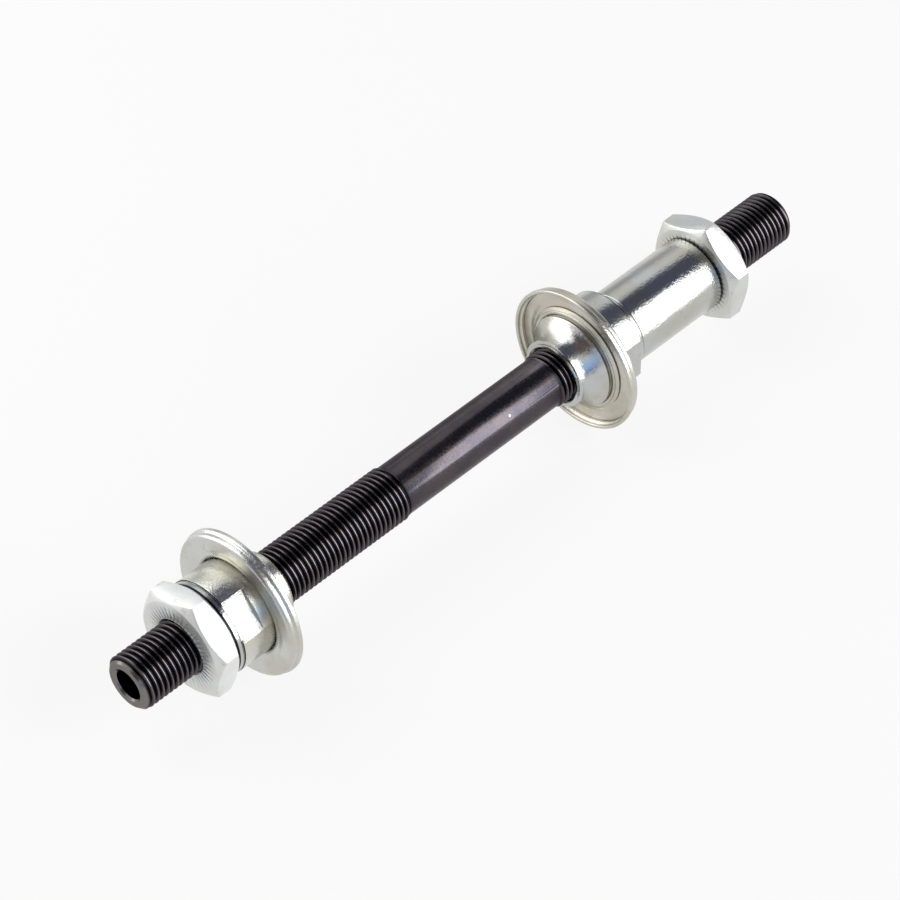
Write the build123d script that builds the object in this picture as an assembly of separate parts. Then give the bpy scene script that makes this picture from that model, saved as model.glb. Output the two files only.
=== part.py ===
from build123d import *
import os
from math import atan2, cos, degrees, radians, tan

# Hollow rear hub axle of a bicycle, with its cones, dust caps, washer, spacer and locknuts.
# Millimetres. The axle lies along Y with its middle at the origin, and Z is up.
# Left is the plain side of the hub, at +Y. Right is the drive side, at -Y.

# Axle, threaded from both ends
axle_length = 146.0
thread_diameter = 9.5
skewer_hole_diameter = 5.3
plain_diameter = 8.9
left_thread_length = 56.0
right_thread_length = 56.0
thread_runout = 0.5
axle_end_chamfer = 0.8
skewer_hole_chamfer = 0.3

# Radial clearances
thread_clearance = 0.05
slip_clearance = 0.15
cap_clearance = 0.03

# Locknuts, alike on both sides and serrated on both faces
left_protrusion = 10.8
right_protrusion = 15.4
nut_flats = 17.0
nut_thickness = 4.5
nut_face_diameter = 16.2
nut_bevel_angle = 32.0
left_nut_turn = 17.0
right_nut_turn = 23.0
serration_count = 44
serration_width = 0.5
serration_depth = 0.32
serration_start_circle = 10.8
serration_end_circle = 14.6

# Washer between the left locknut and its cone
washer_diameter = 16.4
washer_thickness = 1.2

# Spacer tube between the right locknut and its cone
spacer_diameter = 13.2
spacer_length = 18.9

# Cones, with a concave race at the hub end and two wrench flats at the other
cone_diameter = 16.6
left_cone_length = 12.6
right_cone_length = 14.8
left_cone_taper_length = 0.2
left_cone_taper_drop = 0.2
right_cone_taper_length = 2.7
right_cone_taper_drop = 1.5
nose_diameter = 12.2
nose_chamfer = 0.35
race_length = 4.6
race_radius = 5.2
race_bands = 4
wrench_flats = 15.0
wrench_length = 4.1
left_cone_turn = 42.0
right_cone_turn = 50.0

# Dust caps, pressed from sheet, with a collar on the cone and a rolled rim
cap_to_nose = 6.9
cap_diameter = 25.9
cap_sheet = 0.6
cap_collar_length = 1.7
cap_corner = 0.55
cap_band_length = 1.05
cap_rim_step = 0.3
cap_rim_length = 2.1

# Worked out from the values above
thread_radius = thread_diameter / 2
nut_hole_radius = thread_radius + thread_clearance
slip_radius = thread_radius + slip_clearance
cone_radius = cone_diameter / 2
left_nut_face = axle_length / 2 - left_protrusion
left_washer_face = left_nut_face - nut_thickness
left_cone_back = left_washer_face - washer_thickness
left_cone_nose = left_cone_back - left_cone_length
right_nut_face = axle_length / 2 - right_protrusion
right_spacer_face = right_nut_face - nut_thickness
right_cone_back = right_spacer_face - spacer_length
right_cone_nose = right_cone_back - right_cone_length


# Every outline below is drawn as (radius, place along Y) and turned about the axle's line.
# Pieces are drawn for the left side, and those of the right side are mirrored.

def turned(outline):
    return revolve(make_face(outline), Axis.Y)


def mirrored(piece):
    return mirror(piece, Plane.XZ)


def axle():
    half = axle_length / 2
    left = half - left_thread_length
    right = right_thread_length - half
    hole = skewer_hole_diameter / 2
    plain = plain_diameter / 2
    tip = thread_radius - axle_end_chamfer
    outline = Polyline(
        (hole, half - skewer_hole_chamfer),
        (hole + skewer_hole_chamfer, half),
        (tip, half),
        (thread_radius, half - axle_end_chamfer),
        (thread_radius, left),
        (plain, left - thread_runout),
        (plain, right + thread_runout),
        (thread_radius, right),
        (thread_radius, axle_end_chamfer - half),
        (tip, -half),
        (hole + skewer_hole_chamfer, -half),
        (hole, skewer_hole_chamfer - half),
        close=True,
    )
    return turned(outline)


def serration(face, outward):
    # a radial V groove, deepest near the nut's hole and running out further out
    start = serration_start_circle / 2
    length = serration_end_circle / 2 - start
    rise = outward * degrees(atan2(serration_depth, length))
    section = Polyline(
        (outward * serration_depth, -serration_width),
        (outward * serration_depth, serration_width),
        (-outward * serration_depth, 0),
        close=True,
    )
    groove = extrude(Plane.YZ * make_face(section), length)
    return Pos(start, face, 0) * Rot(0, 0, rise) * groove


def locknut(face, turn):
    back = face - nut_thickness
    corner = nut_flats / 2 / cos(radians(30))
    face_radius = nut_face_diameter / 2
    reach = corner + 1
    drop = (reach - face_radius) * tan(radians(nut_bevel_angle))
    outline = Polyline(
        (nut_hole_radius, face),
        (face_radius, face),
        (reach, face - drop),
        (reach, back + drop),
        (face_radius, back),
        (nut_hole_radius, back),
        close=True,
    )
    hexagon = RegularPolygon(nut_flats / 2, 6, major_radius=False)
    prism = extrude(Plane.XZ.offset(-face) * hexagon, nut_thickness)
    nut = prism & turned(outline)
    grooves = []
    for index in range(serration_count):
        step = Rot(0, 360 * index / serration_count, 0)
        grooves.append(step * serration(face, 1))
        grooves.append(step * serration(back, -1))
    return Rot(0, turn, 0) * (nut - grooves)


def ring(face, length, diameter):
    # a plain turned ring that slips over the thread
    back = face - length
    outline = Polyline(
        (slip_radius, face),
        (diameter / 2, face),
        (diameter / 2, back),
        (slip_radius, back),
        close=True,
    )
    return turned(outline)


def cone(back, length, taper_length, taper_drop, turn):
    nose = back - length
    nose_radius = nose_diameter / 2
    # the ball race is turned as short straight bands along its arc
    race_start = (nose_radius, nose + nose_chamfer)
    race_end = (cone_radius, nose + race_length)
    race = RadiusArc(race_start, race_end, race_radius)
    outline = Polyline(
        *[race @ (band / race_bands) for band in range(race_bands + 1)],
        (cone_radius, back - taper_length),
        (cone_radius - taper_drop, back),
        (nut_hole_radius, back),
        (nut_hole_radius, nose),
        (nose_radius - nose_chamfer, nose),
        close=True,
    )
    blank = turned(outline)
    beside = (Align.MIN, Align.CENTER, Align.CENTER)
    flats = []
    for side in (0, 180):
        block = Box(cone_radius, 2 * wrench_length, cone_diameter, align=beside)
        flats.append(Rot(0, side, 0) * Pos(wrench_flats / 2, back, 0) * block)
    return Rot(0, turn, 0) * (blank - flats)


def dust_cap(nose):
    face = nose + cap_to_nose
    hole = cone_radius + cap_clearance
    rim = cap_diameter / 2
    band = rim - cap_rim_step
    band_end = face - cap_band_length
    rim_end = face - cap_rim_length
    collar_end = face - cap_collar_length
    under = face - cap_sheet
    outline = Polyline(
        (hole, collar_end),
        (hole, face),
        (band - cap_corner, face),
        (band, face - cap_corner),
        (band, band_end),
        (rim, band_end - cap_rim_step),
        (rim, rim_end),
        (band - cap_sheet, rim_end),
        (band - cap_sheet, under),
        (hole + cap_sheet, under),
        (hole + cap_sheet, collar_end),
        close=True,
    )
    return turned(outline)


left_cone = cone(
    left_cone_back,
    left_cone_length,
    left_cone_taper_length,
    left_cone_taper_drop,
    left_cone_turn,
)
right_cone = cone(
    right_cone_back,
    right_cone_length,
    right_cone_taper_length,
    right_cone_taper_drop,
    right_cone_turn,
)

pieces = {
    "axle": axle(),
    "left_locknut": locknut(left_nut_face, left_nut_turn),
    "left_washer": ring(left_washer_face, washer_thickness, washer_diameter),
    "left_cone": left_cone,
    "left_dust_cap": dust_cap(left_cone_nose),
    "right_cone": mirrored(right_cone),
    "right_dust_cap": mirrored(dust_cap(right_cone_nose)),
    "right_spacer": mirrored(ring(right_spacer_face, spacer_length, spacer_diameter)),
    "right_locknut": mirrored(locknut(right_nut_face, right_nut_turn)),
}

os.makedirs("parts", exist_ok=True)
for name, piece in pieces.items():
    export_step(piece, f"parts/{name}.step")
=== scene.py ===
import bpy
import math
from mathutils import Matrix, Vector


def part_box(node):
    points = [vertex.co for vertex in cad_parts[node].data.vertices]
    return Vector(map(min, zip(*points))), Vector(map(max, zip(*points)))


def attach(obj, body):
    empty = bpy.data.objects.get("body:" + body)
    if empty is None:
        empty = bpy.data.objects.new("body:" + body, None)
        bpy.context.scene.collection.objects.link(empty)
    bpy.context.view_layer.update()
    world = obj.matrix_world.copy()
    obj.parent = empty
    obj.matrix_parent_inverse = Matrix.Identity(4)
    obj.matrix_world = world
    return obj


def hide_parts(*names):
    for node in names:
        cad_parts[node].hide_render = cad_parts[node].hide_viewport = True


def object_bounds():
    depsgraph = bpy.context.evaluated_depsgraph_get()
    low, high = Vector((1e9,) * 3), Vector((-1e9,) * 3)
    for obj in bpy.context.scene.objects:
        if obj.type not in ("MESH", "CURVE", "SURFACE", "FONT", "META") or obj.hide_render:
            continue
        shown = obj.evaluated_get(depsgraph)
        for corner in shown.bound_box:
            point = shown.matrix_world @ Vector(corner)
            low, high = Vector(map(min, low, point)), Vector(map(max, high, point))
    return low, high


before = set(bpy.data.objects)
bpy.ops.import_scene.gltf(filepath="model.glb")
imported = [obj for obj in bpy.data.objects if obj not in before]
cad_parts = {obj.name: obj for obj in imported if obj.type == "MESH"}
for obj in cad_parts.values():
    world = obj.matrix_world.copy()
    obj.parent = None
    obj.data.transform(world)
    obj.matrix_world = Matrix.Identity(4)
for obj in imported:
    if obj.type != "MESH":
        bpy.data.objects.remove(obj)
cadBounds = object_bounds()
print("frame loaded")

mm = 0.001  # sizes below are in millimetres, Blender works in metres
quarterTurn = math.radians(90)


# small tools shared by the pieces

def deselectAll():
    bpy.ops.object.select_all(action="DESELECT")


def makeActive(piece):
    deselectAll()
    piece.select_set(True)
    bpy.context.view_layer.objects.active = piece


def nodeEnds(node):
    low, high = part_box(node)
    return low[1] / mm, high[1] / mm  # a node's span along the axle


def nodeRadius(node):
    low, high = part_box(node)
    return (high[0] - low[0]) / 2 / mm


def swung(arm, angle):
    cosine, sine = math.cos(angle), math.sin(angle)
    return Vector((arm.x * cosine - arm.y * sine, arm.x * sine + arm.y * cosine))


def roundedOutline(corners, arcSteps=4):
    # corners are (radius, place, rounding), and each rounded one becomes a short arc
    outline = []
    count = len(corners)
    for index, (radius, place, rounding) in enumerate(corners):
        here = Vector((radius, place))
        if rounding == 0:
            outline.append(here)
            continue
        before = Vector(corners[index - 1][:2]) - here
        after = Vector(corners[(index + 1) % count][:2]) - here
        before.normalize()
        after.normalize()
        half = before.angle(after) / 2
        reach = rounding / math.tan(half)
        centre = here + (before + after).normalized() * rounding / math.sin(half)
        start = here + before * reach - centre
        sweep = math.pi - 2 * half
        turn = start.x * after.y - start.y * after.x
        sign = 1 if turn > 0 else -1
        for step in range(arcSteps + 1):
            outline.append(centre + swung(start, sign * sweep * step / arcSteps))
    return [(point[0], point[1]) for point in outline]


def arcBetween(start, end, radius, side, steps):
    # points of an arc from start to end, without the ends, bulging to the side given as 1 or -1
    a, b = Vector(start), Vector(end)
    chord = b - a
    middle = (a + b) / 2
    normal = Vector((-chord.y, chord.x)).normalized() * side
    centre = middle - normal * math.sqrt(radius ** 2 - (chord.length / 2) ** 2)
    first, last = a - centre, b - centre
    sweep = math.atan2(first.x * last.y - first.y * last.x, first.dot(last))
    points = []
    for step in range(1, steps):
        points.append(tuple(centre + swung(first, sweep * step / steps)))
    return points


def turnedPiece(name, outline, steps=160, solid=False):
    # a circle drawn out ring by ring along Y, as on a lathe
    deselectAll()
    radius, place = outline[0]
    bpy.ops.mesh.primitive_circle_add(
        vertices=steps, radius=radius * mm, location=(0, place * mm, 0),
        rotation=(quarterTurn, 0, 0), fill_type="NGON" if solid else "NOTHING")
    piece = bpy.context.object
    piece.name = name
    bpy.ops.object.transform_apply()
    bpy.ops.object.mode_set(mode="EDIT")
    bpy.ops.mesh.select_all(action="SELECT")
    for nextRadius, nextPlace in outline[1:]:
        move = (0, (nextPlace - place) * mm, 0)
        bpy.ops.mesh.extrude_region_move(TRANSFORM_OT_translate={"value": move})
        share = nextRadius / radius
        bpy.ops.transform.resize(value=(share, 1, share), center_override=(0, nextPlace * mm, 0))
        radius, place = nextRadius, nextPlace
    if not solid:
        bpy.ops.mesh.select_all(action="DESELECT")
        bpy.ops.mesh.select_non_manifold()
        bpy.ops.mesh.bridge_edge_loops()
    bpy.ops.mesh.select_all(action="SELECT")
    bpy.ops.mesh.normals_make_consistent(inside=False)
    bpy.ops.object.mode_set(mode="OBJECT")
    return piece


def combine(piece, tool, operation):
    makeActive(piece)
    modifier = piece.modifiers.new(operation, "BOOLEAN")
    modifier.operation = operation
    modifier.object = tool
    modifier.solver = "MANIFOLD"
    bpy.ops.object.modifier_apply(modifier=modifier.name)
    bpy.data.objects.remove(tool)
    return piece


def smoothPiece(piece, angle=30):
    makeActive(piece)
    bpy.ops.object.shade_smooth_by_angle(angle=math.radians(angle))


def softenEdges(piece, width, angle):
    makeActive(piece)
    modifier = piece.modifiers.new("softEdges", "BEVEL")
    modifier.width = width * mm
    modifier.segments = 2
    modifier.limit_method = "ANGLE"
    modifier.angle_limit = math.radians(angle)
    bpy.ops.object.modifier_apply(modifier=modifier.name)


def finishPiece(piece, node, material):
    piece.data.materials.clear()
    piece.data.materials.append(material)
    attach(piece, node)  # each body carries the name of its one node
    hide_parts(node)
    print(piece.name, "done,", len(piece.data.polygons), "faces")


# the axle: two threaded ends and a thinner plain middle, with a hole right through

axleSet = {
    "pitch": 25.4 / 26,
    "threadDepth": 0.56,
    "crestWidth": 0.2,
    "rootWidth": 0.22,
    "flatDrop": 0.035,
    "threadLength": 56.0,
    "plainDiameter": 8.9,
    "runout": 0.5,
    "rootFade": 1.3,
    "endChamfer": 0.8,
    "holeDiameter": 5.3,
    "holeChamfer": 0.3,
    "steps": 72,
    "smoothBelow": 40,
    "spare": 1.0,  # thread made past both ends before it is trimmed
    "toolOver": 0.3,  # how far a cutting tool stands out of the piece
    "toolSink": 0.06,  # how far the trimming tool's small end lies below the plain part
    "coreSink": 0.05,  # how far the middle's ends lie below the thread's root
    "weldMetres": 1e-7,
    "cutMetres": 1e-8,
}


def threadRod(name, low, high):
    # one tooth drawn point by point, screwed along the axle and cut square at both ends
    pitch = axleSet["pitch"]
    crest = nodeRadius("axle")
    root = crest - axleSet["threadDepth"]
    drop = axleSet["flatDrop"]
    halfCrest = axleSet["crestWidth"] / 2
    halfRoot = axleSet["rootWidth"] / 2
    ringRise = pitch / axleSet["steps"]
    start = low - 2 * pitch
    tooth = [
        (root, 0), (root + drop, halfRoot), (crest - drop, pitch / 2 - halfCrest),
        (crest, pitch / 2),
        (crest - drop, pitch / 2 + halfCrest), (root + drop, pitch - halfRoot), (root, pitch),
    ]
    deselectAll()
    bpy.ops.mesh.primitive_plane_add(size=mm, location=(root * mm, start * mm, 0))
    rod = bpy.context.object
    rod.name = name
    bpy.ops.object.transform_apply()
    bpy.ops.object.mode_set(mode="EDIT")
    bpy.ops.mesh.select_all(action="SELECT")
    bpy.ops.mesh.merge(type="CENTER")
    for (radius, place), (nextRadius, nextPlace) in zip(tooth, tooth[1:]):
        move = ((nextRadius - radius) * mm, (nextPlace - place) * mm, 0)
        bpy.ops.mesh.extrude_region_move(TRANSFORM_OT_translate={"value": move})
    bpy.ops.object.mode_set(mode="OBJECT")
    screw = rod.modifiers.new("thread", "SCREW")
    screw.axis = "Y"
    screw.screw_offset = pitch * mm
    screw.iterations = math.ceil((high - low) / pitch) + 3
    screw.steps = axleSet["steps"]
    screw.render_steps = axleSet["steps"]
    bpy.ops.object.modifier_apply(modifier=screw.name)
    bpy.ops.object.mode_set(mode="EDIT")
    bpy.ops.mesh.select_all(action="SELECT")
    bpy.ops.mesh.remove_doubles(threshold=axleSet["weldMetres"])
    for place, outward in ((low, -1), (high, 1)):
        # cut half-way between two rings of points, so that no point lies in the cut
        cut = start + (math.floor((place - start) / ringRise) + 0.5) * ringRise
        bpy.ops.mesh.select_all(action="SELECT")
        bpy.ops.mesh.bisect(
            plane_co=(0, cut * mm, 0), plane_no=(0, outward, 0), use_fill=True,
            clear_outer=True, clear_inner=False, threshold=axleSet["cutMetres"])
    bpy.ops.mesh.select_all(action="SELECT")
    bpy.ops.mesh.normals_make_consistent(inside=False)
    bpy.ops.object.mode_set(mode="OBJECT")
    return rod


def threadedAxle():
    low, high = nodeEnds("axle")
    crest = nodeRadius("axle")
    plain = axleSet["plainDiameter"] / 2
    chamfer = axleSet["endChamfer"]
    over = axleSet["toolOver"]
    sink = axleSet["toolSink"]
    spare = axleSet["spare"]
    steps = axleSet["steps"]
    innerEnd = high - axleSet["threadLength"]
    slope = (crest - plain) / axleSet["runout"]
    ends = []
    for side in (1, -1):
        limit = turnedPiece("threadLimit", [
            (crest - chamfer, side * high),
            (crest + over, side * (high - chamfer - over)),
            (crest + over, side * (innerEnd + (crest + over - plain) / slope)),
            (plain - sink, side * (innerEnd - sink / slope)),
        ], steps, solid=True)
        span = sorted((side * (innerEnd - spare), side * (high + spare)))
        ends.append(combine(threadRod("thread", *span), limit, "INTERSECT"))
    fadeEnd = innerEnd + axleSet["rootFade"]
    core = crest - axleSet["threadDepth"] - axleSet["coreSink"]
    middle = turnedPiece("hubAxle", [
        (core, fadeEnd), (plain, innerEnd), (plain, -innerEnd), (core, -fadeEnd),
    ], steps, solid=True)
    for end in ends:
        combine(middle, end, "UNION")
    hole = axleSet["holeDiameter"] / 2
    cut = axleSet["holeChamfer"]
    mouth = hole + cut + over
    bore = turnedPiece("bore", [
        (mouth, high + over), (hole, high - cut), (hole, low + cut), (mouth, low - over),
    ], steps, solid=True)
    combine(middle, bore, "DIFFERENCE")
    smoothPiece(middle, axleSet["smoothBelow"])
    return middle


# the locknuts: bevelled hexagons, serrated round the hole on both faces

nutSet = {
    "acrossFlats": 17.0,
    "faceDiameter": 16.2,
    "bevelAngle": 32.0,
    "holeClearance": 0.05,
    "countersink": 0.3,
    "edge": 0.18,
    "grooves": 44,
    "grooveDepth": 0.28,
    "grooveStart": 5.15,
    "grooveEnd": 7.7,
    "leftCorner": -17.0,
    "rightCorner": -23.0,
    "reachOver": 1.0,  # how far the bevelled ring and the hexagon stand out of each other
    "edgeFrom": 25,
    "smoothBelow": 28,
}


def serrations(places):
    deselectAll()
    bars = []
    depth = nutSet["grooveDepth"]
    inner = nutSet["grooveStart"]
    length = nutSet["grooveEnd"] - inner
    thick = depth * math.sqrt(2)  # each bar stands on its edge, and cuts half its height deep
    onEdge = Matrix.Rotation(quarterTurn / 2, 4, "X")
    for place, outward in places:
        tilt = outward * math.atan2(depth, length)
        for index in range(nutSet["grooves"]):
            bpy.ops.mesh.primitive_cube_add(size=1)
            bar = bpy.context.object
            spot = Matrix.Rotation(2 * math.pi * index / nutSet["grooves"], 4, "Y")
            spot = spot @ Matrix.Translation((inner * mm, place * mm, 0))
            spot = spot @ Matrix.Rotation(tilt, 4, "Z")
            spot = spot @ Matrix.Translation((length / 2 * mm, 0, 0)) @ onEdge
            bar.matrix_world = spot @ Matrix.Diagonal((length * mm, thick * mm, thick * mm, 1))
            bars.append(bar)
    for bar in bars:
        bar.select_set(True)
    bpy.ops.object.join()
    bpy.ops.object.transform_apply()
    return bpy.context.object


def locknut(name, node, turn):
    low, high = nodeEnds(node)
    hole = nodeRadius("axle") + nutSet["holeClearance"]
    mouth = hole + nutSet["countersink"]
    face = nutSet["faceDiameter"] / 2
    corner = nutSet["acrossFlats"] / math.sqrt(3)
    reach = corner + nutSet["reachOver"]
    drop = (reach - face) * math.tan(math.radians(nutSet["bevelAngle"]))
    ring = turnedPiece("nutRing", [
        (hole, high - nutSet["countersink"]), (mouth, high), (face, high), (reach, high - drop),
        (reach, low + drop), (face, low), (mouth, low), (hole, low + nutSet["countersink"]),
    ])
    deselectAll()
    bpy.ops.mesh.primitive_cylinder_add(
        vertices=6, radius=corner * mm, depth=(high - low + nutSet["reachOver"]) * mm,
        location=(0, (high + low) / 2 * mm, 0), rotation=(quarterTurn, 0, 0))
    nut = bpy.context.object
    nut.name = name
    bpy.ops.object.transform_apply()
    first = nut.data.vertices[0].co
    nut.rotation_euler = (0, math.atan2(first.z, first.x) - math.radians(turn), 0)
    bpy.ops.object.transform_apply()
    combine(nut, ring, "INTERSECT")
    softenEdges(nut, nutSet["edge"], nutSet["edgeFrom"])
    combine(nut, serrations(((high, 1), (low, -1))), "DIFFERENCE")
    smoothPiece(nut, nutSet["smoothBelow"])
    return nut


# the washer and the spacer: plain turned rings that slip over the thread

ringSet = {
    "slip": 0.15,
    "washerEdge": 0.15,
    "spacerEdge": 0.2,
    "holeEdge": 0.05,
}


def slipRing(name, node, edge):
    low, high = nodeEnds(node)
    hole = nodeRadius("axle") + ringSet["slip"]
    holeEdge = ringSet["holeEdge"]
    radius = nodeRadius(node)
    ring = turnedPiece(name, roundedOutline([
        (hole, high, holeEdge), (radius, high, edge), (radius, low, edge), (hole, low, holeEdge),
    ]))
    smoothPiece(ring)
    return ring


# the cones: a concave ball race at the hub end and two wrench flats at the other

coneSet = {
    "holeClearance": 0.05,
    "countersink": 0.45,
    "noseDiameter": 12.2,
    "noseRounding": 0.38,
    "noseLip": 0.5,
    "raceLength": 4.6,
    "raceRadius": 5.2,
    "raceSteps": 14,
    "flats": 15.0,
    "flatLength": 4.1,
    "edge": 0.1,
    "holeEdge": 0.05,
    "noseHoleEdge": 0.08,
    "flatEdge": 0.08,
    "steps": 192,
    "smoothBelow": 35,
    # corners of the back edge: how far below the full radius, and how far before the back
    "leftBack": ((0, 0.2), (0.2, 0)),
    "rightBack": ((0, 1.65), (1.7, 1.65), (1.7, 0)),
    "leftFlat": -42.0,
    "rightFlat": -2.0,
}


def bearingCone(name, node, side, backEdge, flatAngle):
    low, high = nodeEnds(node)
    nose, back = sorted((side * low, side * high))
    radius = nodeRadius(node)
    hole = nodeRadius("axle") + coneSet["holeClearance"]
    cut = coneSet["countersink"]
    noseRadius = coneSet["noseDiameter"] / 2
    lip = (noseRadius, nose + coneSet["noseLip"])
    raceEnd = (radius, nose + coneSet["raceLength"])
    soft = coneSet["edge"]
    holeEdge = coneSet["holeEdge"]
    outline = roundedOutline([
        (*raceEnd, 0), *[(radius - drop, back - before, soft) for drop, before in backEdge],
        (hole + cut, back, holeEdge), (hole, back - cut, holeEdge), (hole, nose + cut, holeEdge),
        (hole + cut, nose, coneSet["noseHoleEdge"]),
        (noseRadius, nose, coneSet["noseRounding"]), (*lip, 0),
    ])
    outline += arcBetween(lip, raceEnd, coneSet["raceRadius"], 1, coneSet["raceSteps"])
    cone = turnedPiece(name, [(r, side * place) for r, place in outline], coneSet["steps"])
    length = coneSet["flatLength"]
    shoulder = back - backEdge[0][1]
    for turn in (0, 180):
        deselectAll()
        bpy.ops.mesh.primitive_cube_add(size=1)
        block = bpy.context.object
        reach = coneSet["flats"] / 2 + radius / 2
        spot = Matrix.Rotation(-math.radians(flatAngle + turn), 4, "Y")
        spot = spot @ Matrix.Translation((reach * mm, side * shoulder * mm, 0))
        size = (radius * mm, 2 * length * mm, 3 * radius * mm, 1)
        block.matrix_world = spot @ Matrix.Diagonal(size)
        bpy.ops.object.transform_apply()
        combine(cone, block, "DIFFERENCE")
    softenEdges(cone, coneSet["flatEdge"], coneSet["smoothBelow"])
    smoothPiece(cone, coneSet["smoothBelow"])
    return cone


# the dust caps: pressed from sheet, with a collar on the cone and a stepped rim

capSet = {
    "clearance": 0.03,
    "sheet": 0.6,
    "collarLength": 1.7,
    "ringWidth": 0.6,
    "ringStep": 0.3,
    "ringRun": 0.9,
    "ringRounding": 1.3,
    "bend": 0.25,
    "rimStep": 0.3,
    "bandLength": 1.05,
    "corner": 0.55,
    "stepRounding": 0.3,
    "stepAngle": 45,
    "innerCorner": 0.1,
    "edge": 0.22,
    "steps": 224,
}


def dustCap(name, node, coneNode, side):
    rimEnd, face = sorted((side * place for place in nodeEnds(node)))
    sheet = capSet["sheet"]
    hole = nodeRadius(coneNode) + capSet["clearance"]
    collar = hole + sheet
    ringEdge = collar + capSet["ringWidth"]
    ringPlace = face - capSet["ringStep"]
    ringEnd = ringEdge + capSet["ringRun"]
    ringLean = sheet * math.tan(math.atan(capSet["ringStep"] / capSet["ringRun"]) / 2)
    gentle = capSet["ringRounding"]
    rim = nodeRadius(node)
    rimStep = capSet["rimStep"]
    band = rim - rimStep
    bandEnd = face - capSet["bandLength"]
    collarEnd = face - capSet["collarLength"]
    lean = sheet * math.tan(math.radians(capSet["stepAngle"]) / 2)
    soft = capSet["stepRounding"]
    edge = capSet["edge"]
    bend = capSet["bend"]
    outline = roundedOutline([
        (hole, collarEnd, edge), (hole, ringPlace, bend + sheet), (ringEdge, ringPlace, gentle),
        (ringEnd, face, gentle), (band, face, capSet["corner"]), (band, bandEnd, soft),
        (rim, bandEnd - rimStep, soft), (rim, rimEnd, edge), (rim - sheet, rimEnd, edge),
        (rim - sheet, bandEnd - rimStep - lean, soft), (band - sheet, bandEnd - lean, 0),
        (band - sheet, face - sheet, capSet["innerCorner"]),
        (ringEnd + ringLean, face - sheet, gentle),
        (ringEdge + ringLean, ringPlace - sheet, gentle), (collar, ringPlace - sheet, bend),
        (collar, collarEnd, edge),
    ])
    cap = turnedPiece(name, [(r, side * place) for r, place in outline], capSet["steps"])
    smoothPiece(cap)
    return cap


# finishes, built from the object's own coordinates

def newFinish(name, metallic, specular=0.5):
    material = bpy.data.materials.new(name)
    material.use_nodes = True
    tree = material.node_tree
    shader = tree.nodes["Principled BSDF"]
    shader.inputs["Metallic"].default_value = metallic
    shader.inputs["Specular IOR Level"].default_value = specular
    return material, tree, shader


def mathNode(tree, operation, first, second=None):
    node = tree.nodes.new("ShaderNodeMath")
    node.operation = operation
    for socket, value in zip(node.inputs, (first, second)):
        if isinstance(value, (int, float)):
            socket.default_value = value
        elif value is not None:
            tree.links.new(value, socket)
    return node.outputs[0]


def noiseNode(tree, vector, scale, detail=3, roughness=0.55):
    node = tree.nodes.new("ShaderNodeTexNoise")
    node.inputs["Scale"].default_value = scale
    node.inputs["Detail"].default_value = detail
    node.inputs["Roughness"].default_value = roughness
    tree.links.new(vector, node.inputs["Vector"])
    return node.outputs["Fac"]


def rampNode(tree, value, low, high, lowResult, highResult):
    node = tree.nodes.new("ShaderNodeMapRange")
    node.interpolation_type = "SMOOTHSTEP"
    tree.links.new(value, node.inputs["Value"])
    ends = {"From Min": low, "From Max": high, "To Min": lowResult, "To Max": highResult}
    for name, number in ends.items():
        node.inputs[name].default_value = number
    return node.outputs["Result"]


def edgeNode(tree, value, place, width):
    # from 0 to 1 across a soft edge, given in millimetres
    return rampNode(tree, value, (place - width) * mm, (place + width) * mm, 0, 1)


def blendColours(tree, share, first, second):
    node = tree.nodes.new("ShaderNodeMix")
    node.data_type = "RGBA"
    tree.links.new(share, node.inputs["Factor"])
    for socket, value in ((node.inputs[6], first), (node.inputs[7], second)):
        if isinstance(value, tuple):
            socket.default_value = (*value, 1)
        else:
            tree.links.new(value, socket)
    return node.outputs[2]


def turnedCoordinates(tree, place):
    # distance from the axle's line and place along it, so that patterns run round like tool marks
    parts = tree.nodes.new("ShaderNodeSeparateXYZ")
    tree.links.new(place, parts.inputs[0])
    across, up = (
        mathNode(tree, "MULTIPLY", parts.outputs[side], parts.outputs[side]) for side in "XZ")
    joined = tree.nodes.new("ShaderNodeCombineXYZ")
    tree.links.new(mathNode(tree, "SQRT", mathNode(tree, "ADD", across, up)), joined.inputs["X"])
    tree.links.new(parts.outputs["Y"], joined.inputs["Y"])
    return joined.outputs[0]


def bumpNode(tree, height, depth, before=None):
    node = tree.nodes.new("ShaderNodeBump")
    node.inputs["Distance"].default_value = depth * mm
    tree.links.new(height, node.inputs["Height"])
    if before is not None:
        tree.links.new(before, node.inputs["Normal"])
    return node.outputs["Normal"]


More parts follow.
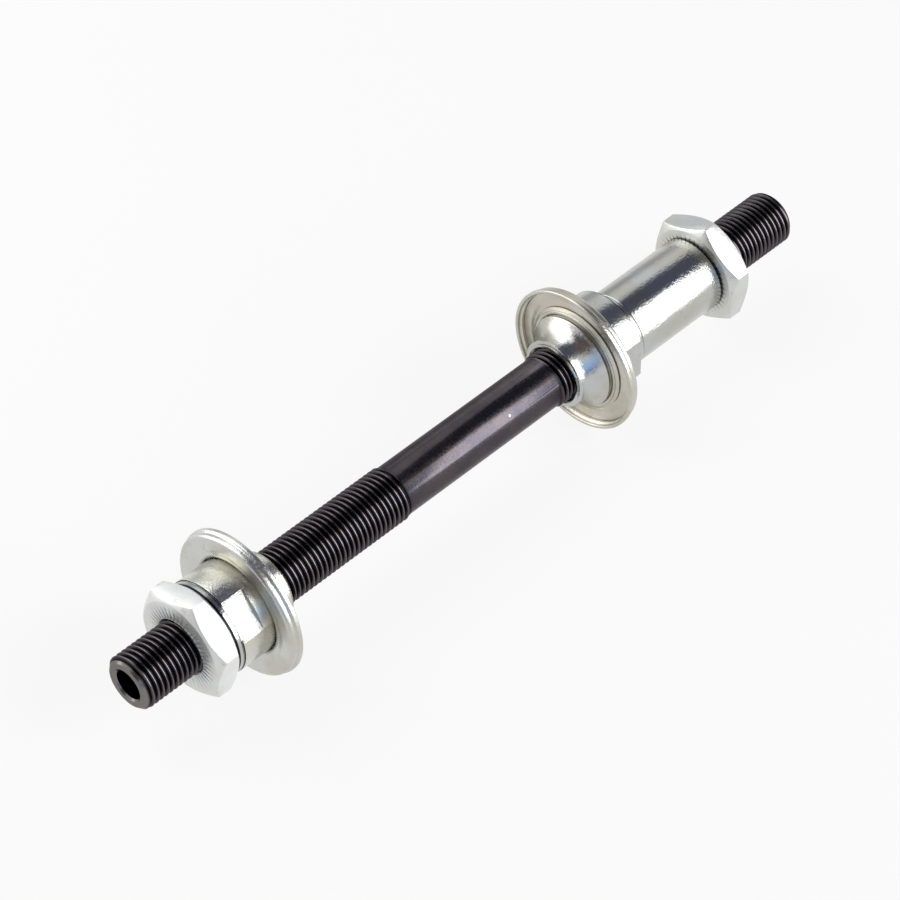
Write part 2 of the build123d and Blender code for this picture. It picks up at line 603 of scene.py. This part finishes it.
def platedFinish(name, look):
    material, tree, shader = newFinish(name, look["metallic"])
    place = tree.nodes.new("ShaderNodeTexCoord").outputs["Object"]
    turned = turnedCoordinates(tree, place)
    patches = noiseNode(tree, place, look["patchScale"], 2)
    stains = noiseNode(tree, place, look["stainScale"], 4, 0.65)
    grain = noiseNode(tree, place, look["grainScale"], 3, 0.6)
    dimples = noiseNode(tree, place, look["dimpleScale"], 2)
    lines = noiseNode(tree, turned, look["lineScale"], 2, 0.7)
    patchy = rampNode(tree, patches, *look["patchRange"], 0, 1)
    colour = blendColours(tree, patchy, look["clean"], look["warm"])
    stained = rampNode(tree, stains, *look["stainRange"], 0, look["stainShare"])
    colour = blendColours(tree, stained, colour, look["stain"])
    # painted shade: the metal is darkened in the narrow gaps between the pieces, where shade falls
    parts = tree.nodes.new("ShaderNodeSeparateXYZ")
    tree.links.new(turned, parts.inputs[0])
    for gapPlace, core, width, least in look["gapShades"]:
        gap = mathNode(tree, "SUBTRACT", parts.outputs["Y"], gapPlace * mm)
        near = rampNode(tree, mathNode(tree, "ABSOLUTE", gap), core * mm, width * mm, 1, 0)
        outside = edgeNode(tree, parts.outputs["X"], least, look["gapShadeFade"])
        gapShade = mathNode(tree, "MULTIPLY", outside, near)
        colour = blendColours(tree, gapShade, colour, look["gapShadeColour"])
    tree.links.new(colour, shader.inputs["Base Color"])
    rough = rampNode(tree, patches, *look["roughRange"], look["roughLow"], look["roughHigh"])
    grainy = rampNode(tree, grain, *look["grainRange"], 0, look["grainRough"])
    tree.links.new(mathNode(tree, "ADD", rough, grainy), shader.inputs["Roughness"])
    normal = bumpNode(tree, grain, look["grainDepth"], bumpNode(tree, dimples, look["dimpleDepth"]))
    tree.links.new(bumpNode(tree, lines, look["lineDepth"], normal), shader.inputs["Normal"])
    return material


def blackFinish(name, look):
    material, tree, shader = newFinish(name, look["metallic"], look["specular"])
    shader.inputs["Specular Tint"].default_value = (*look["edgeTint"], 1)
    place = tree.nodes.new("ShaderNodeTexCoord").outputs["Object"]
    turned = turnedCoordinates(tree, place)
    patches = noiseNode(tree, place, look["patchScale"], 3)
    grain = noiseNode(tree, place, look["grainScale"], 3, 0.6)
    lines = noiseNode(tree, turned, look["lineScale"], 2, 0.7)
    specks = noiseNode(tree, place, look["speckScale"], 1)
    patchy = rampNode(tree, patches, *look["patchRange"], 0, 1)
    colour = blendColours(tree, patchy, look["dark"], look["brown"])
    speckled = rampNode(tree, specks, *look["speckRange"], 0, look["speckShare"])
    colour = blendColours(tree, speckled, colour, look["speck"])
    # painted shade darkens the thread's valleys, its crests are worn, and the axle's ends are bare
    parts = tree.nodes.new("ShaderNodeSeparateXYZ")
    tree.links.new(turned, parts.inputs[0])
    radius = parts.outputs["X"]
    along = mathNode(tree, "ABSOLUTE", parts.outputs["Y"])
    threaded = edgeNode(tree, along, look["threadStart"], look["threadFade"])
    valleyShadeShare = rampNode(tree, radius, look["valleyRadius"] * mm, look["crestRadius"] * mm, 1, 0)
    colour = blendColours(tree, mathNode(tree, "MULTIPLY", threaded, valleyShadeShare), colour, look["valleyShade"])
    worn = edgeNode(tree, radius, look["crestRadius"], look["crestFade"])
    colour = blendColours(tree, mathNode(tree, "MULTIPLY", threaded, worn), colour, look["crest"])
    bare = edgeNode(tree, along, look["endStart"], look["endFade"])
    colour = blendColours(tree, bare, colour, look["end"])
    tree.links.new(colour, shader.inputs["Base Color"])
    rough = rampNode(tree, grain, *look["grainRange"], look["roughLow"], look["roughHigh"])
    tree.links.new(rough, shader.inputs["Roughness"])
    normal = bumpNode(tree, grain, look["grainDepth"])
    tree.links.new(bumpNode(tree, lines, look["lineDepth"], normal), shader.inputs["Normal"])
    return material


platedLook = {
    "clean": (0.5, 0.51, 0.51),
    "warm": (0.47, 0.465, 0.425),
    "stain": (0.36, 0.37, 0.33),
    "stainShare": 0.35,
    "patchRange": (0.38, 0.62),
    "stainRange": (0.56, 0.72),
    "roughRange": (0.3, 0.7),
    "grainRange": (0.35, 0.75),
    "patchScale": 130,
    "stainScale": 500,
    "grainScale": 2400,
    "dimpleScale": 900,
    "lineScale": 3500,
    "roughLow": 0.13,
    "roughHigh": 0.2,
    "grainRough": 0.08,
    "grainDepth": 0.04,
    "dimpleDepth": 0.03,
    "lineDepth": 0.004,
    "metallic": 1.0,
    # painted shade in the gaps between pieces, each: place along the axle, half width of the black
    # core and with its soft edge, least radius
    "gapShades": (),
    "gapShadeColour": (0.015, 0.015, 0.015),
    "gapShadeFade": 0.025,
}
spacerLook = dict(
    platedLook, roughLow=0.1, roughHigh=0.15, grainDepth=0.045, dimpleDepth=0.014,
    gapShades=((-52.9, 0.13, 0.22, 6.425),))
washerLook = dict(platedLook, gapShades=((57.47, 0.16, 0.25, 8.075), (56.6, 0.05, 0.12, 8.075)))
rightConeLook = dict(platedLook, dimpleDepth=0.012, gapShades=((-32.5, 0.1, 0.18, 8.175),))
# the left cone is the same plated steel as the other pieces, painted lighter as painted light for
# the brighter light at that end
leftConePaintedLitLook = dict(
    platedLook, clean=(0.62, 0.62, 0.58), warm=(0.6, 0.58, 0.5), roughLow=0.2, roughHigh=0.3,
    gapShades=((56.38, 0.04, 0.11, 8.075),))
rightNutLook = dict(
    platedLook, clean=(0.66, 0.67, 0.66), warm=(0.62, 0.62, 0.58), roughLow=0.3, roughHigh=0.4)
# the left nut is the same plated steel as the right one, painted lighter as painted light for the
# brighter light at that end
leftNutPaintedLitLook = dict(
    platedLook, clean=(0.8, 0.81, 0.8), warm=(0.76, 0.76, 0.72), roughLow=0.42, roughHigh=0.52,
    metallic=0.75)
leftCapLook = dict(
    platedLook, clean=(0.58, 0.58, 0.56), warm=(0.54, 0.53, 0.48), roughLow=0.23, roughHigh=0.33)
rightCapLook = dict(
    platedLook, clean=(0.56, 0.545, 0.49), warm=(0.52, 0.49, 0.42), roughLow=0.24, roughHigh=0.34)
blackLook = {
    "metallic": 1.0,
    "specular": 0.5,
    "edgeTint": (0.6, 0.58, 0.6),
    "dark": (0.07, 0.062, 0.072),
    "brown": (0.09, 0.077, 0.08),
    "valleyShade": (0.012, 0.01, 0.01),
    "crest": (0.14, 0.128, 0.138),
    "valleyRadius": 4.25,
    "crestRadius": 4.7,
    "crestFade": 0.04,
    "threadStart": 17.0,
    "threadFade": 0.5,
    "end": (0.2, 0.19, 0.175),
    "endStart": 72.55,
    "endFade": 0.15,
    "speck": (0.6, 0.56, 0.5),
    "speckShare": 0.9,
    "speckRange": (0.79, 0.83),
    "patchRange": (0.35, 0.65),
    "grainRange": (0.3, 0.7),
    "patchScale": 260,
    "grainScale": 2600,
    "lineScale": 2500,
    "speckScale": 900,
    "roughLow": 0.18,
    "roughHigh": 0.3,
    "grainDepth": 0.01,
    "lineDepth": 0.003,
}
spacerSteel = platedFinish("spacerSteel", spacerLook)
washerSteel = platedFinish("washerSteel", washerLook)
leftConePaintedLitSteel = platedFinish("leftConePaintedLitSteel", leftConePaintedLitLook)
rightConeSteel = platedFinish("rightConeSteel", rightConeLook)
leftNutPaintedLitSteel = platedFinish("leftNutPaintedLitSteel", leftNutPaintedLitLook)
rightNutSteel = platedFinish("rightNutSteel", rightNutLook)
leftCapSteel = platedFinish("leftCapSteel", leftCapLook)
rightCapSteel = platedFinish("rightCapSteel", rightCapLook)
blackSteel = blackFinish("blackSteel", blackLook)
print("finishes ready")


# the pieces, each on the body of its own CAD node

finishPiece(threadedAxle(), "axle", blackSteel)
finishPiece(
    locknut("leftLocknut", "left_locknut", nutSet["leftCorner"]),
    "left_locknut", leftNutPaintedLitSteel)
finishPiece(
    locknut("rightLocknut", "right_locknut", nutSet["rightCorner"]),
    "right_locknut", rightNutSteel)
finishPiece(
    slipRing("washer", "left_washer", ringSet["washerEdge"]),
    "left_washer", washerSteel)
finishPiece(
    slipRing("spacerTube", "right_spacer", ringSet["spacerEdge"]),
    "right_spacer", spacerSteel)
finishPiece(
    bearingCone("leftCone", "left_cone", 1, coneSet["leftBack"], coneSet["leftFlat"]),
    "left_cone", leftConePaintedLitSteel)
finishPiece(
    bearingCone("rightCone", "right_cone", -1, coneSet["rightBack"], coneSet["rightFlat"]),
    "right_cone", rightConeSteel)
finishPiece(
    dustCap("leftDustCap", "left_dust_cap", "left_cone", 1),
    "left_dust_cap", leftCapSteel)
finishPiece(
    dustCap("rightDustCap", "right_dust_cap", "right_cone", -1),
    "right_dust_cap", rightCapSteel)
print("pieces done")


# the studio: a pale floor, an even light with a few patches for the metal to mirror, and two lamps

studioSet = {
    "floorSize": 3.0,
    "floorColour": (0.86, 0.86, 0.85),
    "floorPatch": (0.85, 0.85, 0.84),
    "patchScale": 6,
    "patchRange": (0.3, 0.7),
    "floorRough": 0.9,
    "floorSpecular": 0.2,
    "floorWhite": 0.85,
    "light": (0.2, 0.2, 0.2),
    "sky": (0.95, 0.96, 0.96),
    "backdrop": (1.0, 1.0, 1.0),
}
# what polished metal sees round it: each patch has a soft edge between two angles, and a stretch
# below 1 draws it out along the axle
surroundings = {
    "farSide": {
        "colour": (0.55, 0.57, 0.6), "toward": (0.86, -0.495, 0.06),
        "stretch": 1, "edge": (12, 26)},
    "ceiling": {
        "colour": (0.1, 0.11, 0.155), "toward": (-0.05, -0.495, 0.866),
        "stretch": 0.1, "edge": (23, 33)},
    "viewer": {
        "colour": (0.16, 0.12, 0.115), "toward": (-0.16, 0.9, 0.41),
        "stretch": 0.25, "edge": (22, 29)},
    "window": {
        "colour": (0.5, 0.8, 1.3), "toward": (-0.865, 0.38, 0.33),
        "stretch": 0.06, "edge": (7, 14)},
    "tableEdge": {
        "colour": (0.13, 0.14, 0.27), "toward": (-0.92, 0.4, -0.05),
        "stretch": 0.06, "edge": (8, 15)},
}
lamps = {
    "nearLamp": {
        "toward": (-0.828, -0.495, 0.27), "distance": 0.6,
        "width": 0.42, "height": 0.8, "power": 5.0},
    "sideLamp": {
        "toward": (0.72, 0.31, 0.6), "distance": 0.34,
        "width": 0.3, "height": 0.5, "power": 0.95},
}


def seenNodes(tree):
    # whether the camera sees a thing straight, and whether it sees it mirrored
    ray = tree.nodes.new("ShaderNodeLightPath").outputs
    mirrored = mathNode(tree, "MAXIMUM", ray["Is Glossy Ray"], ray["Is Transmission Ray"])
    return ray["Is Camera Ray"], mirrored


deselectAll()
lowest = cadBounds[0][2]
bpy.ops.mesh.primitive_plane_add(size=studioSet["floorSize"], location=(0, 0, lowest))
floor = bpy.context.object
floor.name = "floor"
floorMaterial, tree, shader = newFinish("floorPaint", 0, studioSet["floorSpecular"])
place = tree.nodes.new("ShaderNodeTexCoord").outputs["Object"]
shade = noiseNode(tree, place, studioSet["patchScale"], 2)
shade = rampNode(tree, shade, *studioSet["patchRange"], 0, 1)
paint = blendColours(tree, shade, studioSet["floorColour"], studioSet["floorPatch"])
tree.links.new(paint, shader.inputs["Base Color"])
shader.inputs["Roughness"].default_value = studioSet["floorRough"]
glow = tree.nodes.new("ShaderNodeEmission")
glow.inputs["Strength"].default_value = 1
straight, mirrored = seenNodes(tree)
seen = mathNode(tree, "MAXIMUM", straight, mirrored)
mixed = tree.nodes.new("ShaderNodeMixShader")
tree.links.new(mathNode(tree, "MULTIPLY", seen, studioSet["floorWhite"]), mixed.inputs[0])
tree.links.new(shader.outputs[0], mixed.inputs[1])
tree.links.new(glow.outputs[0], mixed.inputs[2])
tree.links.new(mixed.outputs[0], tree.nodes["Material Output"].inputs["Surface"])
floor.data.materials.append(floorMaterial)

world = bpy.data.worlds.new("studio")
bpy.context.scene.world = world
world.use_nodes = True
tree = world.node_tree
background = tree.nodes["Background"]
direction = tree.nodes.new("ShaderNodeTexCoord").outputs["Generated"]
sky = studioSet["sky"]
for look in surroundings.values():
    squash = Vector((1, look["stretch"], 1))
    drawn = tree.nodes.new("ShaderNodeVectorMath")
    drawn.operation = "MULTIPLY"
    tree.links.new(direction, drawn.inputs[0])
    drawn.inputs[1].default_value = squash
    unit = tree.nodes.new("ShaderNodeVectorMath")
    unit.operation = "NORMALIZE"
    tree.links.new(drawn.outputs[0], unit.inputs[0])
    aim = tree.nodes.new("ShaderNodeVectorMath")
    aim.operation = "DOT_PRODUCT"
    tree.links.new(unit.outputs[0], aim.inputs[0])
    aim.inputs[1].default_value = (Vector(look["toward"]) * squash).normalized()
    inner, outer = (math.cos(math.radians(angle)) for angle in look["edge"])
    share = rampNode(tree, aim.outputs["Value"], outer, inner, 0, 1)
    sky = blendColours(tree, share, sky, look["colour"])
straight, mirrored = seenNodes(tree)
sky = blendColours(tree, mirrored, studioSet["light"], sky)
sky = blendColours(tree, straight, sky, studioSet["backdrop"])
tree.links.new(sky, background.inputs["Color"])

for name, look in lamps.items():
    deselectAll()
    toward = Vector(look["toward"]).normalized()
    bpy.ops.object.light_add(type="AREA", location=toward * look["distance"])
    lamp = bpy.context.object
    lamp.name = name
    lamp.rotation_euler = toward.to_track_quat("Z", "Y").to_euler()
    lamp.data.shape = "RECTANGLE"
    lamp.data.size = look["width"]
    lamp.data.size_y = look["height"]
    lamp.data.energy = look["power"]
    lamp.visible_camera = False

cameraSet = {
    "turn": 224.505,
    "rise": 46.0,
    "roll": 0.071,
    "across": -2.838,
    "above": -2.079,
    "away": 634.41,
    "lens": 159.78,
    "sensor": 36,
    "clip": 0.01,
}
deselectAll()
bpy.ops.object.camera_add()
camera = bpy.context.object
spot = Matrix.Rotation(math.radians(cameraSet["turn"]), 4, "Z")
spot = spot @ Matrix.Rotation(quarterTurn - math.radians(cameraSet["rise"]), 4, "X")
spot = spot @ Matrix.Translation([cameraSet[name] * mm for name in ("across", "above", "away")])
camera.matrix_world = spot @ Matrix.Rotation(math.radians(cameraSet["roll"]), 4, "Z")
camera.data.lens = cameraSet["lens"]
camera.data.sensor_width = cameraSet["sensor"]
camera.data.clip_start = cameraSet["clip"]
bpy.context.scene.camera = camera
bpy.context.scene.view_settings.view_transform = "Standard"
print("studio ready")

bpy.context.view_layer.update()
